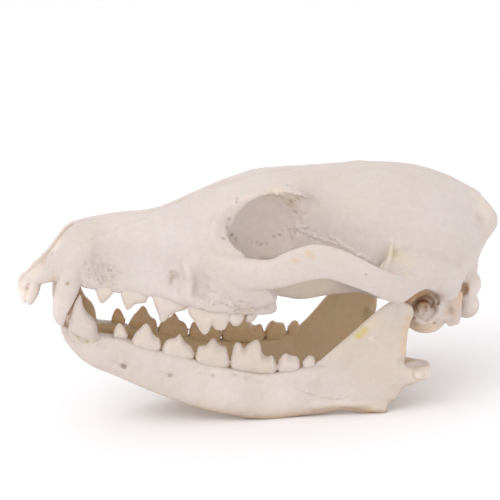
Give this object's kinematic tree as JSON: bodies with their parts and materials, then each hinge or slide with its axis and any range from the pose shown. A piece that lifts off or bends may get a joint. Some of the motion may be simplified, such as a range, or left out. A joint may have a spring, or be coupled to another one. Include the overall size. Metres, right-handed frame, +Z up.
{
  "type": "canid skull",
  "caption": "Life-size still model of a dog-like animal's skull, coyote size, with its lower jaw lying loose under it and both rows of teeth.",
  "frame": {"origin": "centre of the bounding box at floor level, which is the level the lower jaw rests on", "axes": "-X towards the nose, +X towards the back of the skull, -Y towards the animal's left side, +Z up"},
  "size_m": [0.196, 0.1112, 0.0959],
  "materials": {
    "facial_skull": "satin",
    "braincase": "satin",
    "zygomatic_arch_left": "satin",
    "zygomatic_arch_right": "satin",
    "mandible_left": "satin",
    "mandible_right": "satin"
  },
  "bodies": {
    "root": {"facial_skull": "facial_skull", "braincase": "braincase", "zygomatic_arch_left": "zygomatic_arch_left", "zygomatic_arch_right": "zygomatic_arch_right", "mandible_left": "mandible_left", "mandible_right": "mandible_right"}
  },
  "joints": []
}
